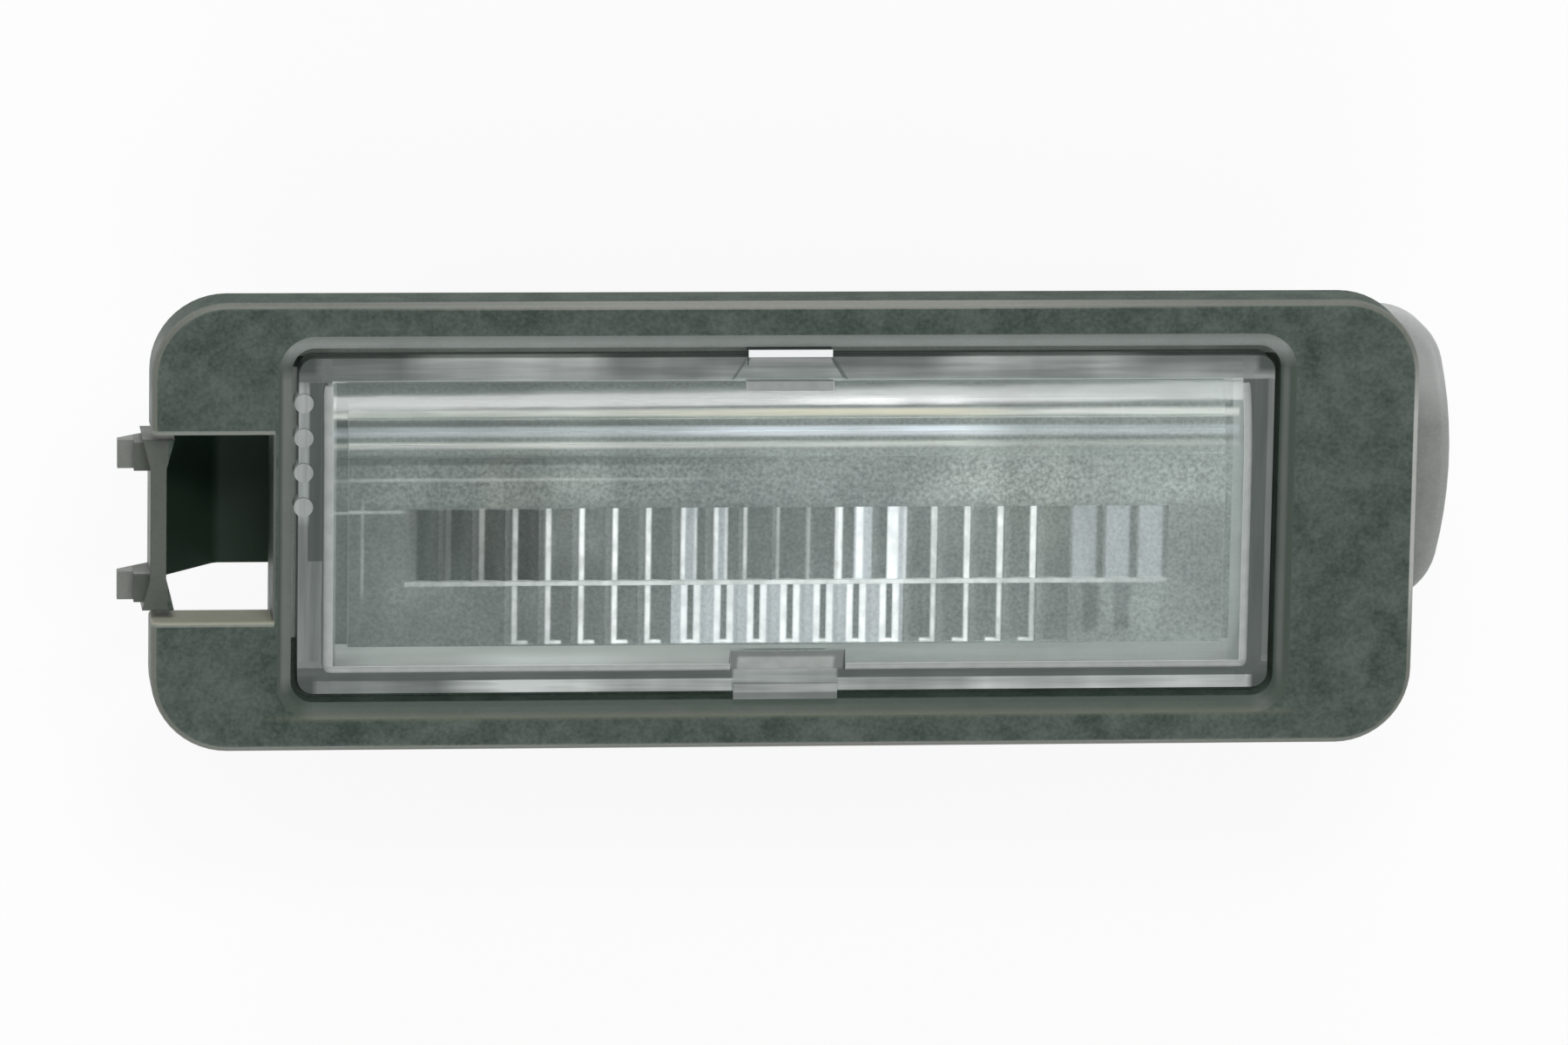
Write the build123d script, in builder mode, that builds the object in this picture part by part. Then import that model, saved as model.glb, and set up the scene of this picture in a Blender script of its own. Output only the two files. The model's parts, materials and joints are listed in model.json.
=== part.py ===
# Clip-in number plate lamp, in millimetres
# X runs along the lamp, Y across it, and the lens faces +Z
# The bezel's rear face rests on the panel at Z = 0, with the origin in the middle of the opening

import os
from math import sqrt

from build123d import *

# Lens: rim, crowned face and wall
lens_length = 61.6
lens_width = 21.4
lens_corner = 1.0
lens_wall = 1.6
rim_width = 1.5
rim_thickness = 1.5
rim_recess = 0.6
crown_rise = 1.6
crown_edge = 0.6
crown_slope_width = 5.6
crown_slope_step = 0.25

# Lens optics: two rows of vertical flutes and a stack of long prisms on the inner face
flute_pitch = 2.1
flute_sag = 0.4
flute_root = 0.2
flute_margin = 0.1
flute_gap = 0.3
upper_flutes = 23
upper_row_height = 4.65
lower_flutes = 17
lower_row_height = 3.75
prism_count = 4
prism_pitch = 0.75
prism_height = 0.35
prism_margin = 0.2

# Lens snap arms, and the pads and pips that centre the rim in the window
snap_width = 5.2
snap_thickness = 1.2
snap_length = 6.0
snap_barb = 1.0
snap_barb_height = 1.6
snap_gap = 0.2
upper_pad_width = 5.3
lower_pad_width = 6.6
pad_clearance = 0.1
pad_rise = 0.3
recess_flare = 0.95
recess_depth = 0.4
ramp_width = 7.3
ramp_run = 1.4
ramp_step = 0.6
pip_radius = 0.6
pip_pitch = 2.2
pip_count = 4
pip_offset = 4.6

# Bezel round the lens
end_border = 8.8
side_border = 3.0
bezel_height = 3.8
bezel_corner = 4.8
bezel_edge = 0.5
bezel_skin = 1.9
skirt_wall = 1.6
window_chamfer = 0.9
lens_end_gap = 0.4
lens_side_gap = 0.6
collar_wall = 1.2
collar_depth = 1.6

# Box behind the bezel
ledge_width = 1.8
box_wall = 1.6
box_depth = 8.0
box_edge = 1.0
gasket_thickness = 0.6
gasket_inset = 0.3

# Latch: a moulded strip that bends up from the box, with a press bar and two ears
notch_width = 11.9
notch_edge = 0.25
latch_clearance = 0.5
latch_strip_width = 9.1
latch_strip_shift = 0.4
latch_thickness = 1.0
latch_run = 3.7
latch_bend = 1.3
bar_recess = 1.4
ear_pitch = 8.4
ear_width = 1.8
ear_reach = 2.0
ear_step = 0.9
ear_height = 1.6
foot_flare = 0.5
foot_flare_length = 1.9

# Nose at the other end, which hooks behind the panel
panel_grip = 2.2
nose_reach = 3.25
nose_width = 19.0
nose_offset = 3.0
nose_bulge = 1.6
nose_corner = 4.0
nose_thickness = 3.2
nose_edge = 0.8
nose_rib_wall = 1.2
nose_rib_pitch = 4.5

# Festoon bulb
bulb_length = 35.5
bulb_diameter = 10.6
glass_wall = 0.8
glass_body_length = 15.0
glass_shoulder = 3.0
cap_length = 7.0
cap_diameter = 8.5
cap_wall = 0.4
cap_socket_depth = 3.0
cap_skirt = 3.6
cap_tip_diameter = 2.2
lead_diameter = 0.5
filament_length = 7.0
filament_turns = 5
filament_radius = 0.7
filament_wire = 0.3

# Carrier that closes the rear and holds contacts and bulb, with the plug socket
bulb_pass = 0.9
bulb_floor_gap = 1.8
tub_wall = 1.2
tub_gap = 0.3
tub_height = 2.6
neck_wall = 1.5
neck_corner = 2.0
post_thickness = 1.6
post_width = 7.2
post_rise = 2.0
plate_thickness = 1.8
plate_margin = 1.4
plate_chamfer = 0.5
carrier_gasket_thickness = 0.8
socket_width = 9.2
socket_height = 4.8
socket_depth = 10.0
shroud_wall = 1.2
shroud_end = 2.4
shroud_gap = 0.6
shroud_corner = 1.0
catch_reach = 0.7
catch_length = 2.4
catch_height = 3.0
hook_width = 6.0
hook_thickness = 1.2
hook_gap = 0.2
hook_lug = 0.8
hook_lug_height = 1.4
hook_barb_height = 1.3

# Spring contacts: stamped strip with a hole for the bulb's tip and a plug blade
strip_thickness = 0.5
contact_width = 6.0
contact_rise = 3.2
contact_lip = 1.2
contact_tail = 1.0
contact_hole = 3.0
blade_width = 2.8
blade_pitch = 5.0
blade_setback = 5.0

# Reflector: thin trough with a rim that fills the box
reflector_wall = 0.8
reflector_gap = 0.3
reflector_bulge = 0.62

# Heights worked out from the sizes above
front_z = bezel_height
rim_z = front_z - rim_recess
rim_back_z = rim_z - rim_thickness
ledge_z = rim_back_z - gasket_thickness
crown_z = rim_z + crown_rise
inner_z = crown_z - lens_wall
floor_z = box_wall - box_depth
shroud_height = socket_height + 2 * shroud_wall
back_z = -box_depth - shroud_gap - shroud_height
plate_z = back_z + plate_thickness
neck_end_z = plate_z + carrier_gasket_thickness
bulb_z = plate_z + bulb_floor_gap + bulb_diameter / 2
socket_z = back_z + shroud_height / 2
strip_z = back_z + plate_thickness / 2

# Outlines worked out from the sizes above
window_length = lens_length + 2 * lens_end_gap
window_width = lens_width + 2 * lens_side_gap
window_corner = lens_corner + lens_end_gap
bezel_length = window_length + 2 * end_border
bezel_width = window_width + 2 * side_border
collar_length = window_length + 2 * collar_wall
collar_width = window_width + 2 * collar_wall
collar_corner = window_corner + collar_wall
chamber_length = window_length - 2 * ledge_width
chamber_width = window_width - 2 * ledge_width
chamber_corner = lens_corner
box_length = chamber_length + 2 * box_wall
box_width = chamber_width + 2 * box_wall
box_corner = chamber_corner + box_wall
crown_length = lens_length - 2 * rim_width
crown_width = lens_width - 2 * rim_width
cavity_length = crown_length - 2 * lens_wall
cavity_width = crown_width - 2 * lens_wall
cap_cone = cap_length - cap_skirt
tip_entry = cap_cone * (contact_hole - cap_tip_diameter) / (cap_diameter - cap_tip_diameter)
contact_span = bulb_length - 2 * tip_entry
tub_inner_length = contact_span + 2 * strip_thickness
tub_length = tub_inner_length + 2 * post_thickness
neck_bore_length = tub_length + 2 * tub_gap
neck_bore_width = bulb_diameter + 2 * bulb_pass
tub_width = neck_bore_width - 2 * tub_gap
neck_length = neck_bore_length + 2 * neck_wall
neck_width = neck_bore_width + 2 * neck_wall
hook_inner_y = neck_width / 2 + hook_lug + hook_gap
hook_outer_y = hook_inner_y + hook_thickness
plate_length = neck_length + 2 * plate_margin
plate_width = 2 * hook_outer_y

# Snap arm of the lens, which lies just inside the box wall
snap_outer_y = chamber_width / 2 - snap_gap
snap_inner_y = snap_outer_y - snap_thickness
snap_end_z = rim_back_z - snap_length
snap_catch_z = snap_end_z + snap_barb_height

# Housing: bezel, box, neck, latch and nose moulded in one
notch_x = -collar_length / 2
notch_outer_x = -bezel_length / 2
bar_x = notch_outer_x + latch_thickness / 2
bar_z = front_z - bar_recess
web_x = box_wall / 2 - box_length / 2
web_z = box_edge - box_depth + latch_thickness / 2
latch_width = notch_width - 2 * latch_clearance
nose_tip_x = bezel_length / 2 + nose_reach
nose_top_z = -panel_grip
nose_bottom_z = nose_top_z - nose_thickness
nose_root_x = box_length / 2 - box_wall / 2
lug_top_z = (neck_end_z - box_depth) / 2
pocket_height = bezel_height - bezel_skin

# Latch, which is moulded on the end of the box and stands in the bezel's notch
with BuildPart() as latch:
    # Strip of the latch, from the box outward and up to the press bar
    with BuildSketch(Plane.XZ.offset(-latch_strip_shift)):
        with BuildLine():
            FilletPolyline(
                (web_x, web_z),
                (bar_x + latch_run, web_z),
                (bar_x, -panel_grip),
                (bar_x, bar_z),
                radius=latch_bend,
            )
        trace(line_width=latch_thickness)
    extrude(amount=latch_strip_width / 2, both=True)

    # Ears on the latch: a step, a slope and a ramp that lets them ride over the panel edge
    for side in (1, -1):
        with BuildSketch(Plane.XZ.offset(-side * ear_pitch / 2)):
            with BuildLine():
                Polyline(
                    (bar_x, bar_z - ear_step),
                    (notch_outer_x - ear_reach / 2, bar_z - ear_step),
                    (notch_outer_x - ear_reach / 2, bar_z - 2 * ear_step),
                    (notch_outer_x - ear_reach, bar_z - 2 * ear_step),
                    (notch_outer_x - ear_reach, bar_z - 2 * ear_step - ear_height / 2),
                    (bar_x, bar_z - 2 * ear_step - 2 * ear_height),
                    close=True,
                )
            make_face()
        extrude(amount=ear_width / 2, both=True)

    # Flared feet at both ends of the press bar
    with BuildSketch(Plane.XY.offset(bar_z)):
        for side in (1, -1):
            with BuildLine():
                Polyline(
                    (bar_x - latch_thickness / 2, side * (latch_width / 2 - foot_flare_length)),
                    (bar_x - latch_thickness / 2 - foot_flare, side * latch_width / 2),
                    (bar_x + latch_thickness / 2 + foot_flare, side * latch_width / 2),
                    (bar_x + latch_thickness / 2, side * (latch_width / 2 - foot_flare_length)),
                    close=True,
                )
            make_face()
    extrude(amount=-(bar_z + panel_grip))

# D-shaped nose with a rounded front edge, which is moulded on the end of the box
with BuildPart() as nose:
    with BuildSketch(Plane.XY.offset(nose_bottom_z)) as nose_outline:
        with BuildLine():
            side_low = (nose_tip_x - nose_bulge, nose_offset - nose_width / 2)
            side_high = (nose_tip_x - nose_bulge, nose_offset + nose_width / 2)
            root_low = (nose_root_x, nose_offset - nose_width / 2)
            root_high = (nose_root_x, nose_offset + nose_width / 2)
            Line(root_low, side_low)
            ThreePointArc(side_low, (nose_tip_x, nose_offset), side_high)
            Polyline(side_high, root_high, root_low)
        make_face()
        fillet(nose_outline.vertices().group_by(Axis.X)[-1], nose_corner)
    extrude(amount=nose_thickness)
    nose_top = nose.faces().sort_by(Axis.Z)[-1]
    fillet(nose_top.edges().filter_by(GeomType.CIRCLE), nose_edge)

with BuildPart() as housing:
    # Bezel with a rounded front edge
    with BuildSketch():
        RectangleRounded(bezel_length, bezel_width, bezel_corner)
    extrude(amount=bezel_height)
    fillet(housing.edges().group_by(Axis.Z)[-1], bezel_edge)

    # Box with a rounded back edge, a collar that locates it in the panel, and the rear neck
    with BuildSketch():
        RectangleRounded(box_length, box_width, box_corner)
    extrude(amount=-box_depth)
    fillet(housing.edges().group_by(Axis.Z)[0], box_edge)
    with BuildSketch():
        RectangleRounded(collar_length, collar_width, collar_corner)
    extrude(amount=-collar_depth)
    with BuildSketch(Plane.XY.offset(floor_z)):
        RectangleRounded(neck_length, neck_width, neck_corner)
    extrude(amount=neck_end_z - floor_z)

    # Window for the lens, with a chamfered front edge
    with BuildSketch(Plane.XY.offset(front_z)):
        RectangleRounded(window_length, window_width, window_corner)
    extrude(amount=ledge_z - front_z, mode=Mode.SUBTRACT)
    chamfer(housing.faces().sort_by(Axis.Z)[-1].inner_wires()[0].edges(), window_chamfer)

    # Lamp chamber under the ledge, and the rear opening through floor and neck
    with BuildSketch(Plane.XY.offset(ledge_z)):
        RectangleRounded(chamber_length, chamber_width, chamber_corner)
    extrude(amount=floor_z - ledge_z, mode=Mode.SUBTRACT)
    with BuildSketch(Plane.XY.offset(floor_z)):
        RectangleRounded(neck_bore_length, neck_bore_width, neck_corner)
    extrude(amount=neck_end_z - floor_z, mode=Mode.SUBTRACT)

    # Snap windows in the box walls
    for side in (1, -1):
        with BuildSketch(Plane.XZ.offset(-side * chamber_width / 2)):
            with Locations((0, (snap_catch_z + snap_end_z) / 2)):
                Rectangle(snap_width + 2 * snap_gap, snap_barb_height)
        extrude(amount=-side * box_wall, mode=Mode.SUBTRACT)

    # Pocket behind the nose border, cored from the rear
    core_length = end_border - collar_wall - skirt_wall
    core_x = collar_length / 2 + core_length / 2
    with BuildSketch():
        with Locations((core_x, 0)):
            Rectangle(core_length, bezel_width - 2 * skirt_wall - 2 * bezel_edge)
    extrude(amount=pocket_height, mode=Mode.SUBTRACT)

    # Pockets behind the two arms beside the notch
    arm_width = (bezel_width - notch_width) / 2
    with BuildSketch():
        for side in (1, -1):
            with Locations((-core_x, side * (notch_width + arm_width) / 2)):
                Rectangle(core_length, arm_width - 2 * skirt_wall)
    extrude(amount=pocket_height, mode=Mode.SUBTRACT)

    # Notch in the bezel for the latch, with its front edge eased
    with BuildSketch():
        with Locations((notch_x, 0)):
            Rectangle(end_border, notch_width, align=(Align.MAX, Align.CENTER))
    extrude(amount=bezel_height, mode=Mode.SUBTRACT)
    front_edges = housing.faces().sort_by(Axis.Z)[-1].edges()
    notch_edges = front_edges.filter_by_position(Axis.X, notch_outer_x, notch_x)
    notch_edges = notch_edges.filter_by_position(Axis.Y, -notch_width / 2, notch_width / 2)
    fillet(notch_edges, notch_edge)

    # Latch in the notch
    add(latch.part)

    # Nose, and gussets under it
    add(nose.part)
    for row in (-1, 0, 1):
        with BuildSketch(Plane.XZ.offset(-nose_offset - row * nose_rib_pitch)):
            with BuildLine():
                Polyline(
                    (nose_root_x, nose_bottom_z),
                    (bezel_length / 2 - nose_bulge, nose_bottom_z),
                    (box_length / 2, box_edge - box_depth),
                    (nose_root_x, box_edge - box_depth),
                    close=True,
                )
            make_face()
        extrude(amount=nose_rib_wall / 2, both=True)

    # Lugs on the neck that the carrier's hooks snap over
    for side in (1, -1):
        with BuildSketch(Plane.YZ):
            with BuildLine():
                Polyline(
                    (side * (neck_width / 2 - neck_wall / 2), lug_top_z),
                    (side * (neck_width / 2 + hook_lug), lug_top_z),
                    (side * neck_width / 2, lug_top_z - hook_lug_height),
                    (side * (neck_width / 2 - neck_wall / 2), lug_top_z - hook_lug_height),
                    close=True,
                )
            make_face()
        extrude(amount=hook_width / 2, both=True)

# Lens: rim, crowned face, flutes, prisms, snap arms and pads in one clear moulding
slope_start_y = crown_width / 2 - crown_slope_width
slope_drop = crown_rise - crown_slope_step
slope_radius = (crown_slope_width**2 + slope_drop**2) / (2 * slope_drop)
slope_center_z = crown_z - slope_radius
inner_slope_radius = slope_radius - lens_wall
lower_row_y = flute_margin - cavity_width / 2
upper_row_y = lower_row_y + lower_row_height + flute_gap


def inner_slope_z(y):
    return slope_center_z + sqrt(inner_slope_radius**2 - (y - slope_start_y) ** 2)


with BuildPart() as lens:
    # Rim
    with BuildSketch(Plane.XY.offset(rim_back_z)):
        RectangleRounded(lens_length, lens_width, lens_corner)
    extrude(amount=rim_thickness)

    # Crowned face: flat over the flutes, then curved down to the upper rim
    with BuildSketch(Plane.YZ):
        with BuildLine():
            lower_edge = (-crown_width / 2, crown_z)
            slope_start = (slope_start_y, crown_z)
            slope_end = (crown_width / 2, rim_z + crown_slope_step)
            Polyline((-crown_width / 2, rim_back_z), lower_edge, slope_start)
            TangentArc(slope_start, slope_end, tangent=(1, 0))
            upper_foot = (crown_width / 2, rim_back_z)
            Polyline(slope_end, upper_foot, (-crown_width / 2, rim_back_z))
        make_face()
    extrude(amount=crown_length / 2, both=True)
    front_face = lens.faces().filter_by(Axis.Z).sort_by(Axis.Z)[-1]
    fillet(front_face.edges().group_by(Axis.Y)[0], crown_edge)
    slope_face = lens.faces().filter_by(GeomType.CYLINDER).sort_by(Axis.Y)[-1]
    front_face = lens.faces().filter_by(Axis.Z).sort_by(Axis.Z)[-1]
    end_edges = ShapeList()
    for face in (slope_face, front_face):
        along = face.edges().group_by(Axis.X)
        end_edges += along[0] + along[-1]
    fillet(end_edges, crown_edge)

    # Hollow behind the crown
    with BuildSketch(Plane.YZ):
        with BuildLine():
            cavity_low = (-cavity_width / 2, rim_back_z)
            cavity_corner = (-cavity_width / 2, inner_z)
            inner_start = (slope_start_y, inner_z)
            inner_end = (cavity_width / 2, inner_slope_z(cavity_width / 2))
            Polyline(cavity_low, cavity_corner, inner_start)
            TangentArc(inner_start, inner_end, tangent=(1, 0))
            Polyline(inner_end, (cavity_width / 2, rim_back_z), cavity_low)
        make_face()
    extrude(amount=cavity_length / 2, both=True, mode=Mode.SUBTRACT)

    # Flutes: convex ribs side by side on the inner face
    rows = ((upper_flutes, upper_row_y, upper_row_height), (lower_flutes, lower_row_y, lower_row_height))
    for flutes, row_y, row_height in rows:
        valleys = [(n - flutes / 2) * flute_pitch for n in range(flutes + 1)]
        with BuildSketch(Plane.XZ.offset(-row_y)):
            with BuildLine():
                for left, right in zip(valleys, valleys[1:]):
                    tip = ((left + right) / 2, inner_z - flute_sag)
                    ThreePointArc((left, inner_z), tip, (right, inner_z))
                Polyline(
                    (valleys[-1], inner_z),
                    (valleys[-1], inner_z + flute_root),
                    (valleys[0], inner_z + flute_root),
                    (valleys[0], inner_z),
                )
            make_face()
        extrude(amount=-row_height)

    # Prisms: long ridges under the curved part, each with a steep upper side
    for n in range(prism_count):
        low_y = cavity_width / 2 - prism_margin - (n + 1) * prism_pitch
        high_y = low_y + prism_pitch
        with BuildSketch(Plane.YZ):
            with BuildLine():
                Polyline(
                    (low_y, inner_slope_z(low_y) + flute_root),
                    (low_y, inner_slope_z(low_y) - prism_height),
                    (high_y, inner_slope_z(high_y)),
                    (high_y, inner_slope_z(high_y) + flute_root),
                    close=True,
                )
            make_face()
        extrude(amount=cavity_length / 2, both=True)

    # Recess in the upper rim, which widens towards the crown
    with BuildSketch(Plane.XY.offset(rim_z)):
        with BuildLine():
            Polyline(
                (-upper_pad_width / 2, lens_width / 2),
                (upper_pad_width / 2, lens_width / 2),
                (upper_pad_width / 2 + recess_flare, crown_width / 2),
                (-upper_pad_width / 2 - recess_flare, crown_width / 2),
                close=True,
            )
        make_face()
    extrude(amount=-recess_depth, mode=Mode.SUBTRACT)

    # Ramp in the lower edge of the crown
    with BuildSketch(Plane.YZ):
        with BuildLine():
            Polyline(
                (-crown_width / 2, rim_z),
                (ramp_run - crown_width / 2, crown_z - ramp_step),
                (ramp_run - crown_width / 2, crown_z),
                (-crown_width / 2, crown_z),
                close=True,
            )
        make_face()
    extrude(amount=ramp_width / 2, both=True, mode=Mode.SUBTRACT)

    # Pads on the long sides of the rim, and the snap arms below
    for side, pad_width in ((1, upper_pad_width), (-1, lower_pad_width)):
        with BuildSketch(Plane.XY.offset(rim_back_z)):
            with Locations((0, side * lens_width / 2)):
                Rectangle(pad_width, 2 * (lens_side_gap - pad_clearance))
        extrude(amount=rim_thickness + pad_rise)
        with BuildSketch(Plane.YZ):
            with BuildLine():
                Polyline(
                    (side * snap_inner_y, rim_back_z),
                    (side * snap_outer_y, rim_back_z),
                    (side * snap_outer_y, snap_catch_z - snap_gap),
                    (side * (snap_outer_y + snap_barb), snap_catch_z - snap_gap),
                    (side * snap_outer_y, snap_end_z),
                    (side * snap_inner_y, snap_end_z),
                    close=True,
                )
            make_face()
        extrude(amount=snap_width / 2, both=True)

    # Pips on the latch end of the rim, which take up the play in the window
    pip_x = pad_clearance + pip_radius - window_length / 2
    with BuildSketch(Plane.XY.offset(rim_back_z)):
        with Locations((pip_x, pip_offset)):
            with GridLocations(0, pip_pitch, 1, pip_count):
                Circle(pip_radius)
    extrude(amount=rim_thickness + pad_rise)

# Soft ring between the lens rim and the ledge
with BuildPart() as lens_gasket:
    with BuildSketch(Plane.XY.offset(ledge_z)):
        RectangleRounded(lens_length, lens_width, lens_corner)
        inner_length = chamber_length + 2 * gasket_inset
        inner_width = chamber_width + 2 * gasket_inset
        RectangleRounded(inner_length, inner_width, chamber_corner, mode=Mode.SUBTRACT)
    extrude(amount=gasket_thickness)

# Reflector: a bulging trough with a rim that fills the box
reflector_top_z = ledge_z - reflector_gap
reflector_middle_z = (reflector_top_z + floor_z) / 2
rim_outer_length = chamber_length - 2 * reflector_gap
rim_outer_width = chamber_width - 2 * reflector_gap
mouth_length = rim_outer_length - 2 * reflector_wall
mouth_width = rim_outer_width - 2 * reflector_wall
waist_length = neck_bore_length + reflector_bulge * (mouth_length - neck_bore_length)
waist_width = neck_bore_width + reflector_bulge * (mouth_width - neck_bore_width)
trough = (
    (reflector_top_z, mouth_length, mouth_width),
    (reflector_middle_z, waist_length, waist_width),
    (floor_z, neck_bore_length, neck_bore_width),
)

with BuildPart() as reflector:
    for height, length, width in trough:
        with BuildSketch(Plane.XY.offset(height)):
            outer_length = length + 2 * reflector_wall
            outer_width = width + 2 * reflector_wall
            RectangleRounded(outer_length, outer_width, neck_corner + reflector_wall)
    loft(ruled=True)
    for height, length, width in trough:
        with BuildSketch(Plane.XY.offset(height)):
            RectangleRounded(length, width, neck_corner)
    loft(ruled=True, mode=Mode.SUBTRACT)

    # Openings for the lens's snap arms
    with BuildSketch(Plane.XY.offset(reflector_top_z)):
        for side in (1, -1):
            with Locations((0, side * (snap_inner_y + snap_outer_y) / 2)):
                Rectangle(snap_width + 2 * snap_gap, snap_thickness + 2 * snap_gap)
    extrude(amount=snap_end_z - snap_gap - reflector_top_z, mode=Mode.SUBTRACT)

# Festoon bulb along X: glass, caps, leads and filament
bulb_axis = Axis((0, 0, bulb_z), (1, 0, 0))
cap_start_x = bulb_length / 2 - cap_length
glass_end_x = cap_start_x + cap_socket_depth
neck_radius = cap_diameter / 2 - cap_wall
body_x = glass_body_length / 2
shoulder_x = body_x + glass_shoulder
filament_x = filament_length / 2

with BuildPart() as bulb_filament:
    with BuildLine() as coil:
        Helix(
            filament_length / filament_turns,
            filament_length,
            filament_radius,
            center=(-filament_x, 0, bulb_z),
            direction=(1, 0, 0),
        )
    with BuildSketch(Plane(coil.line @ 0, z_dir=coil.line % 0)):
        Rectangle(filament_wire, filament_wire)
    sweep(is_frenet=True)

coil_start = coil.line @ 0
leads = {}
for side, name in ((-1, "left"), (1, "right")):
    with BuildPart() as lead:
        with BuildSketch(Plane.YZ.offset(side * (filament_x + filament_wire))):
            with Locations((coil_start.Y, coil_start.Z)):
                Circle(lead_diameter / 2)
        extrude(amount=side * (glass_end_x - filament_x - filament_wire))
    leads[name] = lead

with BuildPart() as bulb_glass:
    with BuildSketch(Plane.XZ):
        with BuildLine():
            Polyline(
                (-glass_end_x, bulb_z),
                (-glass_end_x, bulb_z + neck_radius),
                (-shoulder_x, bulb_z + neck_radius),
                (-body_x, bulb_z + bulb_diameter / 2),
                (body_x, bulb_z + bulb_diameter / 2),
                (shoulder_x, bulb_z + neck_radius),
                (glass_end_x, bulb_z + neck_radius),
                (glass_end_x, bulb_z),
                close=True,
            )
        make_face()
    revolve(axis=bulb_axis)
    with BuildSketch(Plane.XZ):
        with BuildLine():
            Polyline(
                (-shoulder_x, bulb_z),
                (-shoulder_x, bulb_z + neck_radius - glass_wall),
                (-body_x, bulb_z + bulb_diameter / 2 - glass_wall),
                (body_x, bulb_z + bulb_diameter / 2 - glass_wall),
                (shoulder_x, bulb_z + neck_radius - glass_wall),
                (shoulder_x, bulb_z),
                close=True,
            )
        make_face()
    revolve(axis=bulb_axis, mode=Mode.SUBTRACT)
    for lead in leads.values():
        add(lead.part, mode=Mode.SUBTRACT)

caps = {}
for side, name in ((-1, "left"), (1, "right")):
    with BuildPart() as cap:
        with BuildSketch(Plane.XZ):
            with BuildLine():
                Polyline(
                    (side * glass_end_x, bulb_z),
                    (side * glass_end_x, bulb_z + neck_radius),
                    (side * cap_start_x, bulb_z + neck_radius),
                    (side * cap_start_x, bulb_z + cap_diameter / 2),
                    (side * (cap_start_x + cap_skirt), bulb_z + cap_diameter / 2),
                    (side * (bulb_length / 2), bulb_z + cap_tip_diameter / 2),
                    (side * (bulb_length / 2), bulb_z),
                    close=True,
                )
            make_face()
        revolve(axis=bulb_axis)
    caps[name] = cap

# Spring contacts: upright with a flared lip, run inside the carrier plate, step up and plug blade
contact_x = (contact_span + strip_thickness) / 2
contact_top_z = bulb_z + contact_rise
step_x = neck_length / 2 + shroud_gap + shroud_end / 2
blade_end_x = neck_length / 2 + shroud_gap + shroud_end + socket_depth - blade_setback
contacts = {}
for side, name in ((-1, "left"), (1, "right")):
    with BuildPart() as contact:
        with BuildSketch(Plane.XZ):
            with BuildLine():
                Polyline(
                    (side * (contact_x + contact_lip / 2), contact_top_z + contact_lip),
                    (side * contact_x, contact_top_z),
                    (side * contact_x, plate_z),
                )
            trace(line_width=strip_thickness)
        extrude(amount=contact_width / 2, both=True)
        with Locations(Plane((side * contact_x, 0, bulb_z), z_dir=(1, 0, 0))):
            Hole(contact_hole / 2)
        with BuildSketch(Plane.XZ.offset(-side * blade_pitch / 2)):
            with BuildLine():
                Polyline(
                    (side * contact_x, plate_z + contact_tail),
                    (side * contact_x, strip_z),
                    (step_x, strip_z),
                    (step_x, socket_z),
                    (blade_end_x, socket_z),
                )
            trace(line_width=strip_thickness)
        extrude(amount=blade_width / 2, both=True)
    contacts[name] = contact

# Carrier: plate, tub, posts behind the contacts, plug socket and hooks in one moulding
shroud_x = neck_length / 2 + shroud_gap
shroud_length = shroud_end + socket_depth
shroud_width = socket_width + 2 * shroud_wall

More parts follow.
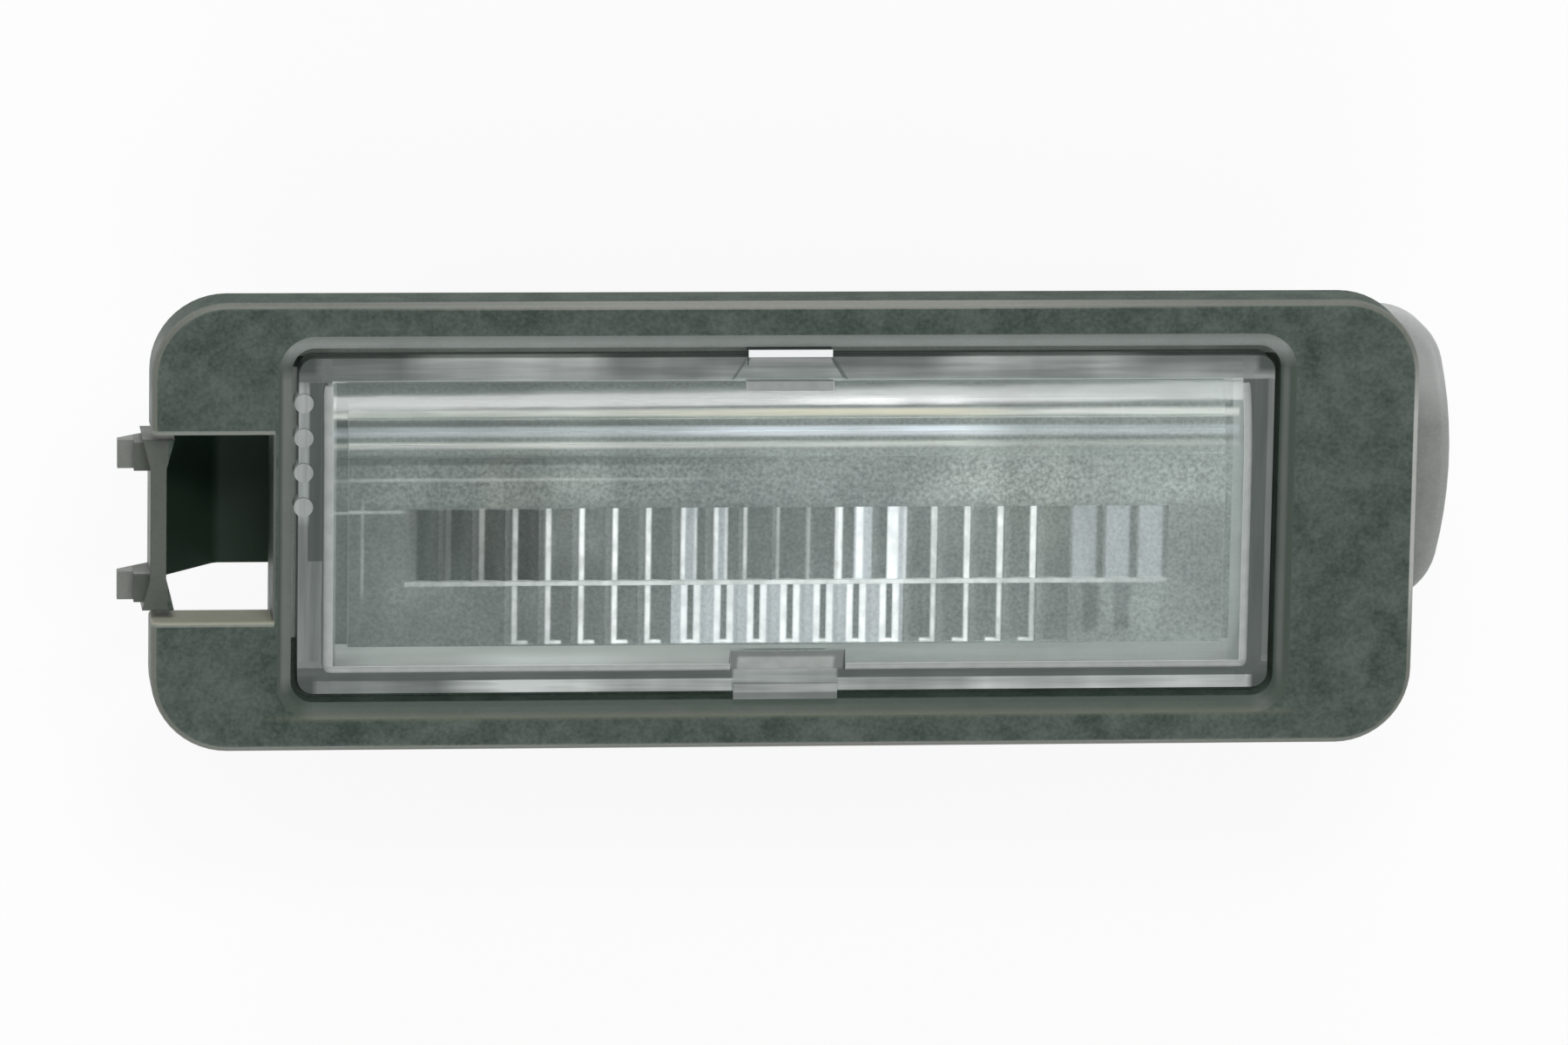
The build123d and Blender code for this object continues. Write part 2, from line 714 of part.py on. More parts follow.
with BuildPart() as bulb_carrier:
    # Plate with a chamfered back edge
    with BuildSketch(Plane.XY.offset(back_z)):
        RectangleRounded(plate_length, plate_width, neck_corner + plate_margin)
    extrude(amount=plate_thickness)
    chamfer(bulb_carrier.edges().group_by(Axis.Z)[0], plate_chamfer)

    # Tub that plugs into the neck, and a post behind each contact
    with BuildSketch(Plane.XY.offset(plate_z)):
        RectangleRounded(tub_length, tub_width, neck_corner - tub_gap)
        Rectangle(tub_inner_length, tub_width - 2 * tub_wall, mode=Mode.SUBTRACT)
    extrude(amount=tub_height)
    with BuildSketch(Plane.XY.offset(plate_z)):
        for side in (1, -1):
            with Locations((side * (tub_length - post_thickness) / 2, 0)):
                Rectangle(post_thickness, post_width)
    extrude(amount=bulb_z + post_rise - plate_z)

    # Socket for the plug
    with BuildSketch(Plane.YZ.offset(shroud_x)):
        with Locations((0, socket_z)):
            RectangleRounded(shroud_width, shroud_height, shroud_corner)
    extrude(amount=shroud_length)
    with BuildSketch(Plane.YZ.offset(shroud_x + shroud_end)):
        with Locations((0, socket_z)):
            Rectangle(socket_width, socket_height)
    extrude(amount=socket_depth, mode=Mode.SUBTRACT)

    # Catch for the plug on the side of the socket
    with BuildSketch(Plane.XY.offset(socket_z)):
        with BuildLine():
            Polyline(
                (shroud_x + shroud_length - shroud_end, shroud_width / 2 - shroud_wall / 2),
                (shroud_x + shroud_length - shroud_end, shroud_width / 2),
                (shroud_x + shroud_length - shroud_end - catch_length, shroud_width / 2 + catch_reach),
                (shroud_x + shroud_length - shroud_end - catch_length, shroud_width / 2 - shroud_wall / 2),
                close=True,
            )
        make_face()
    extrude(amount=catch_height / 2, both=True)

    # Hooks that snap over the lugs on the neck
    for side in (1, -1):
        with BuildSketch(Plane.YZ):
            with BuildLine():
                Polyline(
                    (side * hook_outer_y, plate_z),
                    (side * hook_outer_y, lug_top_z + hook_gap + hook_barb_height),
                    (side * hook_inner_y, lug_top_z + hook_gap + hook_barb_height),
                    (side * (neck_width / 2 + hook_gap), lug_top_z + hook_gap),
                    (side * hook_inner_y, lug_top_z + hook_gap),
                    (side * hook_inner_y, plate_z),
                    close=True,
                )
            make_face()
        extrude(amount=hook_width / 2, both=True)

    # Reliefs in the posts for the bulb's tips, and slots that the contact strips fill
    with BuildSketch(Plane.YZ):
        with Locations((0, bulb_z)):
            Circle(contact_hole / 2)
    extrude(amount=tub_length / 2, both=True, mode=Mode.SUBTRACT)
    for contact in contacts.values():
        add(contact.part, mode=Mode.SUBTRACT)

# Soft ring between the carrier plate and the end of the neck
with BuildPart() as carrier_gasket:
    with BuildSketch(Plane.XY.offset(plate_z)):
        RectangleRounded(neck_length, neck_width, neck_corner)
        RectangleRounded(neck_bore_length, neck_bore_width, neck_corner, mode=Mode.SUBTRACT)
    extrude(amount=carrier_gasket_thickness)

pieces = {
    "housing": housing,
    "lens": lens,
    "lens_gasket": lens_gasket,
    "reflector": reflector,
    "bulb_glass": bulb_glass,
    "bulb_cap_left": caps["left"],
    "bulb_cap_right": caps["right"],
    "bulb_lead_left": leads["left"],
    "bulb_lead_right": leads["right"],
    "bulb_filament": bulb_filament,
    "contact_left": contacts["left"],
    "contact_right": contacts["right"],
    "bulb_carrier": bulb_carrier,
    "carrier_gasket": carrier_gasket,
}

os.makedirs("parts", exist_ok=True)
for label, piece in pieces.items():
    piece.part.label = label
    export_step(piece.part, f"parts/{label}.step")
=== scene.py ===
import json
import math

import bpy
import numpy as np
from mathutils import Matrix, Vector


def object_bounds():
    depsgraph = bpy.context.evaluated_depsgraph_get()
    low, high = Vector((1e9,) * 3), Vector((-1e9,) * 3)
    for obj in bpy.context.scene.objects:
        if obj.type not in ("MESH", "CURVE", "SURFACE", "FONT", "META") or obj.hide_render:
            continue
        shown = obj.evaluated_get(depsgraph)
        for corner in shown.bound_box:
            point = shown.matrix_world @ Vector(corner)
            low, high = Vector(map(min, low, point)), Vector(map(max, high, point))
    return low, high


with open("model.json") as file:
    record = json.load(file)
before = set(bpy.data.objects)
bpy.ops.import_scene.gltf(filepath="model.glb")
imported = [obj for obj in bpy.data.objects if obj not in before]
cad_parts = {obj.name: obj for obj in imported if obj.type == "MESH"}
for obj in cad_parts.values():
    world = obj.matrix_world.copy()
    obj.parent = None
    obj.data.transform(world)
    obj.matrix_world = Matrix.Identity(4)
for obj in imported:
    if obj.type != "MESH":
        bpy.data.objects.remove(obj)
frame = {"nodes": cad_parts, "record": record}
cadBox = [list(corner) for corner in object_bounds()]
scene = bpy.context.scene
nodes = frame["nodes"]
mm = 0.001
paperWhite = (1.0, 1.0, 1.0)
noiseSpan = (0.3, 0.7)  # most of a noise lies between these
noiseCore = (0.35, 0.65)  # its middle lies between these
edgeSoft = 0.03  # softness of a painted edge, in millimetres


# node helpers shared by all materials
def newMaterial(name):
    material = bpy.data.materials.new(name)
    material.use_nodes = True
    tree = material.node_tree
    tree.nodes.clear()
    return material, tree, tree.nodes.new("ShaderNodeOutputMaterial").inputs["Surface"]


def addNode(tree, kind, inputs, **settings):
    node = tree.nodes.new(kind)
    for key, value in settings.items():
        setattr(node, key, value)
    for key, value in inputs.items():
        socket = node.inputs[key]
        if isinstance(value, bpy.types.NodeSocket):
            tree.links.new(value, socket)
        elif socket.type == "RGBA":
            socket.default_value = (*value, 1.0)
        else:
            socket.default_value = value
    return node


def objectCoords(tree):
    return tree.nodes.new("ShaderNodeTexCoord").outputs["Object"]


def noise(tree, vector, size, detail=3.0, roughness=0.55):
    settings = {"Vector": vector, "Scale": 1 / size, "Detail": detail, "Roughness": roughness}
    return addNode(tree, "ShaderNodeTexNoise", settings).outputs["Fac"]


def ramp(tree, factor, low, high, lowColour, highColour):
    node = addNode(tree, "ShaderNodeValToRGB", {"Fac": factor})
    first, last = node.color_ramp.elements
    first.position, first.color = low, (*lowColour, 1.0)
    last.position, last.color = high, (*highColour, 1.0)
    return node.outputs["Color"]


def bump(tree, height, depth, strength, normal=None):
    node = addNode(tree, "ShaderNodeBump", {"Height": height, "Strength": strength, "Distance": depth})
    if normal is not None:
        tree.links.new(normal, node.inputs["Normal"])
    return node.outputs["Normal"]


def mixColour(tree, factor, first, second):
    return addNode(tree, "ShaderNodeMix", {0: factor, 6: first, 7: second}, data_type="RGBA").outputs[2]


def mixValue(tree, factor, first, second):
    return addNode(tree, "ShaderNodeMix", {0: factor, 2: first, 3: second}, data_type="FLOAT").outputs[0]


def mixShader(tree, factor, first, second):
    return addNode(tree, "ShaderNodeMixShader", {0: factor, 1: first, 2: second}).outputs[0]


# clear pieces let light through instead of casting a solid shadow
def clearToLight(tree, shader, tint):
    shadow = addNode(tree, "ShaderNodeBsdfTransparent", {"Color": tint})
    path = tree.nodes.new("ShaderNodeLightPath")
    return mixShader(tree, path.outputs["Is Shadow Ray"], shader, shadow.outputs[0])


# arithmetic on values
def maths(tree, operation, *values):
    return addNode(tree, "ShaderNodeMath", dict(enumerate(values)), operation=operation).outputs[0]


def combine(tree, operation, *values):
    total = values[0]
    for value in values[1:]:
        total = maths(tree, operation, total, value)
    return total


def times(tree, *values):
    return combine(tree, "MULTIPLY", *values)


def most(tree, *values):
    return combine(tree, "MAXIMUM", *values)


def scale(tree, value, low, high, outLow, outHigh):
    settings = {"Value": value, "From Min": low, "From Max": high, "To Min": outLow, "To Max": outHigh}
    return addNode(tree, "ShaderNodeMapRange", settings).outputs["Result"]


def masked(tree, mask, off, on):
    return scale(tree, mask, 0, 1, off, on)


# places: 1 within a range and 0 outside it
def span(tree, value, low, high, soft=edgeSoft):
    up = scale(tree, value, low - soft, low + soft, 0.0, 1.0)
    down = scale(tree, value, high - soft, high + soft, 1.0, 0.0)
    return times(tree, up, down)


def near(tree, value, middle, half, soft=edgeSoft):
    return span(tree, value, middle - half, middle + half, soft)


def zone(tree, places, box):
    return times(tree, *[span(tree, places[key], *box[key]) for key in places if key in box])


def anyZone(tree, places, boxes):
    return most(tree, *[zone(tree, places, box) for box in boxes])


def placesInMm(tree, coords):
    scaled = addNode(tree, "ShaderNodeVectorMath", {0: coords, "Scale": 1 / mm}, operation="SCALE")
    split = addNode(tree, "ShaderNodeSeparateXYZ", {0: scaled.outputs[0]})
    places = {axis.lower(): split.outputs[axis] for axis in "XYZ"}
    places["absX"] = maths(tree, "ABSOLUTE", places["x"])
    places["absY"] = maths(tree, "ABSOLUTE", places["y"])
    return places


def normalZ(tree, kind):
    geometry = tree.nodes.new("ShaderNodeNewGeometry")
    return addNode(tree, "ShaderNodeSeparateXYZ", {0: geometry.outputs[kind]}).outputs["Z"]


# housing plastic: mottled grey-green with a fine grain, with painted highlights along edges, painted light
# in gaps and on walls, and painted shade in the latch's hollow
# a zone is a box in millimetres, with a softness where a third number stands; tilt is the normal's Z part
# the later zones lie over the earlier ones
housingLook = {
    "dark": (0.031, 0.047, 0.037),
    "light": (0.083, 0.107, 0.089),
    "patch": 2.4 * mm,
    "grain": 0.26 * mm,
    "edge": 0.12 * mm,
    "roughness": (0.38, 0.56),
    "zoneMottle": (0.75, 1.0),
    "longWalls": {"absY": (12.9, 20, 1.2), "z": (-1, 3.3), "tilt": (-0.2, 0.3), "roughness": 0.9},
    "zones": {
        # painted light in the gap under the window's upper edge
        "ledge": {"absX": (-1, 31.3), "y": (10.5, 11.35), "z": (0.3, 1.9), "colour": (0.55, 0.58, 0.55)},
        # painted light in the gap at the latch end of the window
        "latchLedgeLight": {
            "x": (-31.35, -30.5),
            "y": (-7.5, 9.8),
            "z": (0.3, 1.9),
            "colour": (0.42, 0.44, 0.42),
        },
        # painted shade in the deep hollow of the latch
        "latchStripShade": {"x": (-39, -31), "absY": (-1, 6), "z": (-20, 1), "colour": (0.019, 0.042, 0.024)},
        # paler tone of the nose, raised further as painted light against the bezel's shade on it
        "nose": {"x": (35, 60), "z": (-9, -0.5), "colour": (0.31, 0.32, 0.305)},
        # painted light on the upper side of the nose
        "noseTopLight": {"x": (35, 60), "y": (6.5, 20, 1.5), "z": (-9, -0.5), "colour": (0.42, 0.43, 0.42)},
        # painted highlights on the rounded front edges
        "edgeHighlights": {"z": (3.2, 4), "tilt": (0.3, 0.94), "colour": (0.15, 0.16, 0.135)},
        # painted highlight along the upper front edge
        "upperEdgeHighlight": {
            "absX": (-20, 20, 9),
            "y": (13.85, 14.4),
            "z": (3.25, 3.9),
            "colour": (0.22, 0.225, 0.2),
        },
        # painted highlight along the outer edge at the nose end
        "noseSideHighlight": {
            "x": (39, 41),
            "y": (-6, 9, 2),
            "z": (2, 4),
            "tilt": (-0.1, 0.94),
            "colour": (0.45, 0.46, 0.43),
        },
        "chamfer": {
            "absX": (-1, 32.3),
            "absY": (-1, 12.3),
            "tilt": (0.3, 0.94),
            "colour": (0.06, 0.08, 0.065),
        },
        # painted light on the window's upper chamfer
        "upperChamferLight": {
            "absX": (-1, 32, 0.6),
            "y": (10.6, 12.25, 0.6),
            "tilt": (0.5, 0.9),
            "colour": (0.28, 0.305, 0.29),
        },
        # painted highlight on the window's chamfer at the nose end
        "noseChamferHighlight": {"x": (31.35, 31.7, 0.1), "y": (-10, 10, 1), "colour": (0.14, 0.155, 0.14)},
        # painted light on the window's chamfer and gap at the latch end
        "latchChamferLight": {
            "x": (-31.85, -31.1, 0.12),
            "y": (-10.2, 9.8, 0.5),
            "z": (2.2, 4),
            "colour": (0.19, 0.205, 0.19),
        },
        # painted highlight along the lower outer edge
        "lowerEdgeHighlight": {"absX": (-1, 31.5, 2), "y": (-12.3, -12, 0.14), "colour": (0.11, 0.125, 0.09)},
        # painted highlights along the notch's top edges
        "notchEdgeHighlights": {"x": (-41, -32.3), "absY": (5.9, 6.25), "z": (3.4, 4), "colour": (0.2, 0.22, 0.19)},
        # painted light on the notch's lower wall
        "notchWallLight": {"x": (-41, -32.3), "y": (-6.1, -5.9), "z": (0, 4), "colour": (0.3, 0.3, 0.23)},
        "pressBar": {"x": (-41, -38.9), "absY": (-1, 5.6), "z": (-1.5, 4), "colour": (0.095, 0.105, 0.088)},
        "ears": {"x": (-46, -41), "absY": (-1, 7), "z": (-4, 4), "colour": (0.2, 0.21, 0.19)},
    },
}
# carrier plastic: darker, with no zones
carrierLook = {
    "dark": (0.018, 0.020, 0.019),
    "light": (0.036, 0.040, 0.038),
    "patch": 2.6 * mm,
    "grain": 0.24 * mm,
    "edge": 0.1 * mm,
    "roughness": (0.42, 0.58),
}
# grain of both mouldings: its share in the mottle, the mottle's contrast, and the relief
mouldGrain = {"share": 0.45, "contrast": (0.36, 0.64), "depth": 0.02 * mm, "strength": 0.6}


def mouldedPlastic(name, look):
    material, tree, surface = newMaterial(name)
    coords = objectCoords(tree)
    patches = noise(tree, coords, look["patch"], detail=4.0, roughness=0.6)
    grain = noise(tree, coords, look["grain"], detail=2.0)
    mottle = mixValue(tree, mouldGrain["share"], patches, grain)
    colour = ramp(tree, mottle, *mouldGrain["contrast"], look["dark"], look["light"])
    roughness = scale(tree, patches, *noiseSpan, *look["roughness"])
    if "zones" in look:
        places = placesInMm(tree, coords)
        places["tilt"] = normalZ(tree, "Normal")
        zoneMottle = scale(tree, mottle, *noiseSpan, *look["zoneMottle"])
        # each zone lays its tone over the mottle: a paler tone, a painted highlight, painted light or
        # painted shade
        for box in look["zones"].values():
            share = times(tree, zone(tree, places, box), zoneMottle)
            colour = mixColour(tree, share, colour, box["colour"])
        walls = look["longWalls"]
        roughness = mixValue(tree, zone(tree, places, walls), roughness, walls["roughness"])
    edge = addNode(tree, "ShaderNodeBevel", {"Radius": look["edge"]}, samples=4)
    normal = bump(tree, grain, mouldGrain["depth"], mouldGrain["strength"], edge.outputs["Normal"])
    settings = {"Base Color": colour, "Roughness": roughness, "Normal": normal}
    shader = addNode(tree, "ShaderNodeBsdfPrincipled", settings)
    tree.links.new(shader.outputs[0], surface)
    return material


# clear lens: gloss on the crown, satin inside and on the rim, with painted highlights, painted reflections
# and painted shade as pale and dark strips on ribs and prisms and as tones on the satin and rim
# all places in millimetres of the part's own frame; a shade of 0 is deepest, 1 is the full colour
# a turn has four numbers: where it starts and ends, and the value at either end
lensLook = {
    "ior": 1.49,
    "skin": {"colour": (0.94, 0.97, 0.96), "roughness": 0.08},
    "satin": {"colour": (0.62, 0.68, 0.66), "roughness": 0.45, "clear": 0.42},
    "wave": {"size": 6.0 * mm, "depth": 0.06 * mm, "strength": 0.4},
    "rimClear": 0.15,
    "rimColour": (0.65, 0.68, 0.66),
    # darkest colour of the painted shade on the satin and rim
    "deepest": (0.045, 0.058, 0.053),
    # colour of the painted highlights: white lines on ribs, ledge and pad
    "white": (0.97, 0.98, 0.98),
    # colour of the painted cool reflections on the ribs
    "cool": (0.78, 0.82, 0.88),
    # half length and half width of crown and cavity, and heights
    "crown": (29.35, 9.25),
    "cavity": (27.7, 7.7),
    "cavityTop": 3.25,
    "rimFront": (1.8, 3.6),
    "rimBack": 1.75,
    "rear": -9,
    # size of each pattern, drawn out where it has a stretch
    "along": {"size": 0.5 * mm, "stretch": (0.05, 1.0, 1.0)},
    "upward": {"size": 0.5 * mm, "stretch": (1.0, 0.05, 1.0)},
    "steps": {"size": 7.0 * mm, "stretch": (1.0, 0.02, 0.02)},
    "clouds": {"size": 5.0 * mm, "detail": 3.0},
    "flecks": {"size": 0.9 * mm, "detail": 2.0},
    "dots": {"size": 0.24 * mm, "detail": 2.0},
    # least and most that a pattern leaves of a shade
    "uneven": {
        "rimStreaks": (0.75, 1.25),
        "rimSteps": (0.7, 1.25),
        "crownFlecks": (0.9, 1.1),
        "paleStreaks": (0.75, 1.0),
        "paleSteps": (0.85, 1.05),
        "prismStreaks": (0.6, 1.2),
        "satinDots": (0.7, 1.3),
        "stippleDots": (0.78, 1.85),
        "satinClouds": (0.8, 1.2),
        "coolDots": (0.75, 1.0),
    },
    # painted light and shade inside, as turns along the lamp: lighter towards the nose end, darker in the
    # nose half of the lower row, and what the rows leave of it
    "paintedLightTurn": (-28, 28, 0.2, 0.49),
    "noseHalf": (-6, 6, 0.0, 1.0),
    "rowShade": 0.8,
    "stipple": (1.4, 4.6, 0.3),
    # painted light inside: pale places under the lower row and at both ends, with a painted highlight under
    # the lower row on the latch side
    "pale": (
        {"y": (-9.3, -7.62), "colour": (0.60, 0.62, 0.605)},
        {"x": (-26, -3, 2), "y": (-9.3, -7.62), "colour": (0.66, 0.67, 0.655)},
        {"x": (-19, -10, 2), "y": (-9.3, -8.3, 0.3), "colour": (0.86, 0.87, 0.86)},
        {"x": (-29.4, -28.4), "z": (-9, 1.75), "colour": (0.34, 0.37, 0.36)},
        {"x": (28.3, 29.4), "z": (-9, 1.75), "colour": (0.50, 0.54, 0.53)},
    ),
    # rim by side, with painted light and shade: over the shade of its right end, with patches of painted
    # highlight, a dark bar and dark corners of painted shade; the later ones lie over the earlier ones
    "rimRight": 0.1,
    "rim": (
        {"x": (-32, 0), "shade": 0.28},
        {"x": (-30.2, -29), "y": (-2.2, 12), "shade": 0.08},
        {"x": (-32, -30.15, 0.08), "y": (0.3, 9, 0.3), "shade": 0.5},
        {"x": (-32, -29.8), "y": (0.3, 9), "z": (3.35, 4), "shade": 0.55},
        {"x": (30.4, 32), "shade": 0.22},
        {"y": (9.2, 12), "shade": 0.36},
        {"y": (10, 12, 0.6), "shade": 0.18},
        {"x": (-32, -23.5, 1), "y": (9.2, 12), "shade": 0.17},
        {"x": (-23.5, -11.5, 1), "y": (9.8, 12, 0.4), "shade": 0.58},
        {"x": (-11, -5.5, 0.6), "y": (9.2, 12), "shade": 0.24},
        {"x": (10, 22, 1.5), "y": (9.8, 12, 0.4), "shade": 0.5},
        {"y": (-12, -9.2), "shade": 0.65},
        {"x": (-32, -21, 1), "y": (-12, -9.2), "shade": 0.25},
        {"x": (-19, -11, 1), "y": (-12, -9.2), "shade": 0.95},
        {"x": (4.5, 12, 0.8), "y": (-12, -9.9), "shade": 0.4},
        {"y": (-9.3, 9, 0.05), "z": (3.3, 4.9), "shade": 0.6},
        {"y": (-9.3, -8.6), "z": (3.3, 4.9), "shade": 0.48},
        {"y": (-9.9, -9.05), "shade": 0.1},
        {"absX": (-1, 3.3, 0.1), "y": (-10, -9.05), "shade": 0.45},
        {"absX": (-1, 3.4), "y": (-10.75, -10), "shade": 0.5},
        {"absX": (-1, 3.4), "y": (-12, -10.75), "shade": 0.25},
        {"absX": (-1, 3.75), "y": (-9.3, -7.75), "z": (3.1, 4.5), "shade": 0.2},
        {"absX": (-1, 3.05, 0.1), "y": (-9.3, -8.4, 0.1), "z": (3.1, 4.5), "shade": 0.55},
        {"absX": (-1, 4), "y": (8, 9.25), "shade": 0.4},
        {"absX": (29.7, 32, 0.2), "absY": (9.7, 12, 0.2), "shade": 0.04},
    ),
    # painted shade on upright faces, by the normal's Z part, but painted light instead on the outer sides
    # of the rim that catch light
    "upright": (0.2, 0.4, 0.4, 1.0),
    "paleSides": (
        {"x": (-32, -30.75)},
        {"x": (-23.5, -11.5, 1), "y": (10.6, 10.8)},
        {"x": (11, 23, 1), "y": (10.6, 10.8)},
    ),
    # satin places on the crown: the ramp, the lower and the end edges, and over the upper snap arm
    "crownSatin": (
        {"absX": (-1, 3.7), "y": (-9.3, -7.75), "z": (3.1, 4.5)},
        {"y": (-9.3, -8.62), "z": (3.1, 4.9)},
        {"absX": (28.72, 29.4), "z": (3.1, 4.9)},
        {"absX": (-1, 2.75), "y": (8.62, 9.3), "z": (2.9, 4.5)},
    ),
    # recess over the rim, wider towards the crown: a lighter painted tone on its floor and lines of painted
    # shade along its slanted sides
    "recess": {"half": 2.65, "top": 10.7, "flare": 0.633, "line": 0.14, "shade": 0.14, "floor": 0.42},
    # painted highlight: a white strip on top of the upper pad
    "padTopHighlight": {"y": (10.75, 12), "z": (3.35, 4), "strong": 0.9},
    # painted highlights and reflections as bands along the lamp on the inner face: strength at the latch
    # end, in the middle and at the nose end
    "prisms": (
        {"at": 6.95, "half": 0.22, "colour": (0.97, 0.96, 0.91), "strong": (0.75, 1.0, 0.95)},
        {"at": 6.95, "half": 0.2, "colour": (1.0, 0.87, 0.6), "strong": (0.0, 0.65, 0.0)},
        {"at": 5.9, "half": 0.26, "colour": (0.88, 0.92, 1.0), "strong": (0.35, 0.95, 0.4)},
        {"at": 5.1, "half": 0.15, "colour": (0.94, 0.93, 0.88), "strong": (0.55, 0.5, 0.2)},
        {"at": 3.05, "half": 0.08, "colour": (0.92, 0.94, 0.93), "strong": (0.35, 0.0, 0.0)},
    ),
    # painted shade as dark bands along the lamp, with strengths given the same way
    "grooves": (
        {"at": 7.45, "half": 0.14, "strong": (0.25, 0.25, 0.35)},
        {"at": 6.4, "half": 0.18, "strong": (0.6, 0.25, 0.15)},
        {"at": 5.4, "half": 0.12, "strong": (0.1, 0.25, 0.3)},
        {"at": 4.25, "half": 0.28, "strong": (0.5, 0.0, 0.0)},
    ),
    "bandSoft": 0.1,
    "bandReach": 28.7,
    "middleTurn": (-14, 2),
    "noseTurn": (11, 15),
    # bands sit lower by this behind the rim, so that they meet the prisms as seen from the front
    "bandDrop": 0.25,
    # painted shade: dark cells beyond the lower row at the nose end
    "cells": (
        {"x": (18.8, 19.8, 0.15), "y": (-6.8, -3.8, 0.2), "deep": 0.4},
        {"x": (20.8, 21.8, 0.15), "y": (-6.8, -3.8, 0.2), "deep": 0.4},
    ),
    # faint lines of the mould beside the upper row
    "marks": (
        {"x": (-28.7, -24.2, 0.3), "bandY": (0.92, 1.12, 0.06), "strong": 0.3},
        {"x": (-26.92, -26.72, 0.06), "bandY": (-4.5, 1.8, 0.5), "strong": 0.2},
    ),
}
# painted highlights: pale lines sit at set places across one rib, by group, and at places of their own in
# the upper middle
# each line has its place, half width and strength; fades are turns along the lamp
ribLook = {
    "pitch": 2.1,
    "soft": 0.07,
    "groupSoft": 0.01,
    "chance": (0.8, 1.0),
    "flecks": (0.35, 0.6, 0.7, 1.0),
    "upper": {
        "y": (-3.45, 1.2),
        "reach": 24.15,
        "fades": ((-21.5, -13, 0.12, 1.0),),
        "groups": (
            {"x": (-22.05, -7.35), "lines": ((-0.41, 0.17, 1.0),)},
            {"x": (7.35, 15.75), "lines": ((0.86, 0.19, 1.0),)},
        ),
        "lines": (
            (-6.62, 0.15, 0.95),
            (-5.85, 0.1, 0.6),
            (-4.55, 0.15, 0.9),
            (-3.9, 0.1, 0.6),
            (-2.7, 0.12, 0.7),
            (-0.63, 0.1, 0.4),
            (1.3, 0.1, 0.4),
            (3.2, 0.24, 0.95),
            (4.55, 0.22, 0.95),
            (6.65, 0.34, 0.95),
            (7.4, 0.1, 0.7),
        ),
        "cool": ((-6.2, 0.45, 0.45), (-4.2, 0.38, 0.45), (4.75, 0.55, 0.65), (6.9, 0.6, 0.65)),
    },
    "lower": {
        "y": (-7.5, -3.75),
        "reach": 17.85,
        "fades": ((-18, -12, 0.5, 1.0), (12, 16, 1.0, 0.55)),
        "groups": (
            {"x": (-22.05, -7.35), "lines": ((-0.41, 0.17, 1.0),), "foot": (-0.5, 0.45)},
            {"x": (-7.35, 7.35), "lines": ((-0.21, 0.2, 1.0), (0.61, 0.2, 1.0)), "foot": (-0.3, 0.7)},
            {"x": (7.35, 15.75), "lines": ((0.86, 0.14, 1.0),), "foot": (0.05, 0.95)},
        ),
    },
    # painted reflections: cool stripes beside the pairs of lines in the lower middle, off the core between
    # the two
    "middle": {"reach": 7.35, "core": (0.2, 0.18), "strong": 0.5},
    # painted shade on the ribs at the latch end of the upper row
    "dark": {"x": (-23.4, -15.4, 0.1), "y": (-3.4, 1.1), "deep": (1.0, 0.75)},
    # painted light on the rib bodies at the nose end of the upper row
    "pale": {"x": (17.7, 23.9), "across": (-0.05, 0.76, 0.1), "strong": 0.36},
    # painted highlight: a pale line along the ledge under the upper row
    "ledge": {"at": (-3.6, 0.15, 0.05), "fade": (10, 24, 0.8, 0.3)},
    "feet": (-7.42, 0.12),
}


# thin streaks along and across the lamp, broad steps along it, clouds, flecks and dots
def lensPatterns(tree, coords, look):
    patterns = {}
    for key in ("along", "upward", "steps"):
        drawn = addNode(tree, "ShaderNodeMapping", {"Vector": coords, "Scale": look[key]["stretch"]})
        patterns[key] = noise(tree, drawn.outputs[0], look[key]["size"])
    for key in ("clouds", "flecks", "dots"):
        patterns[key] = noise(tree, coords, look[key]["size"], look[key]["detail"])
    return patterns


# satin faces: the cavity behind the crown, the rim front and back, and places on the crown
def satinFaces(tree, places, look):
    x, y, z = (places[axis] for axis in "xyz")
    crownX, crownY = look["crown"]
    cavityX, cavityY = look["cavity"]
    crown = times(tree, near(tree, x, 0, crownX), near(tree, y, 0, crownY))
    rim = times(tree, span(tree, z, *look["rimFront"]), masked(tree, crown, 1, 0))
    onCrown = anyZone(tree, places, look["crownSatin"])
    front = most(tree, rim, onCrown)
    behind = span(tree, z, look["rear"], look["rimBack"])
    cavity = times(
        tree,
        near(tree, x, 0, cavityX),
        near(tree, y, 0, cavityY),
        span(tree, z, look["rear"], look["cavityTop"]),
    )
    every = most(tree, cavity, behind, front)
    return {"rim": rim, "onCrown": onCrown, "front": front, "behind": behind, "every": every}


# lines at places of their own along the lamp
def ownLines(tree, x, lines, soft):
    return [times(tree, near(tree, x, place, half, soft), strong) for place, half, strong in lines]


# one row of ribs: its area and its pale lines of painted highlight, which stand on feet where a group has
# them
def ribRow(tree, places, across, row, ribs):
    x, y, soft = places["x"], places["y"], ribs["soft"]
    area = times(tree, span(tree, y, *row["y"]), near(tree, x, 0, row["reach"]))
    fade = times(tree, *[scale(tree, x, *turn) for turn in row["fades"]])
    lines = ownLines(tree, x, row.get("lines", ()), soft)
    feet = []
    for group in row["groups"]:
        here = span(tree, x, *group["x"], ribs["groupSoft"])
        for place, half, strong in group["lines"]:
            lines.append(times(tree, near(tree, across, place, half, soft), here, strong))
        if "foot" in group:
            feet.append(times(tree, span(tree, across, *group["foot"], soft), here))
    pale = times(tree, most(tree, *lines), area, fade)
    if feet:
        footLines = times(tree, most(tree, *feet), near(tree, y, *ribs["feet"], soft), area, fade)
        pale = most(tree, pale, footLines)
    return area, pale
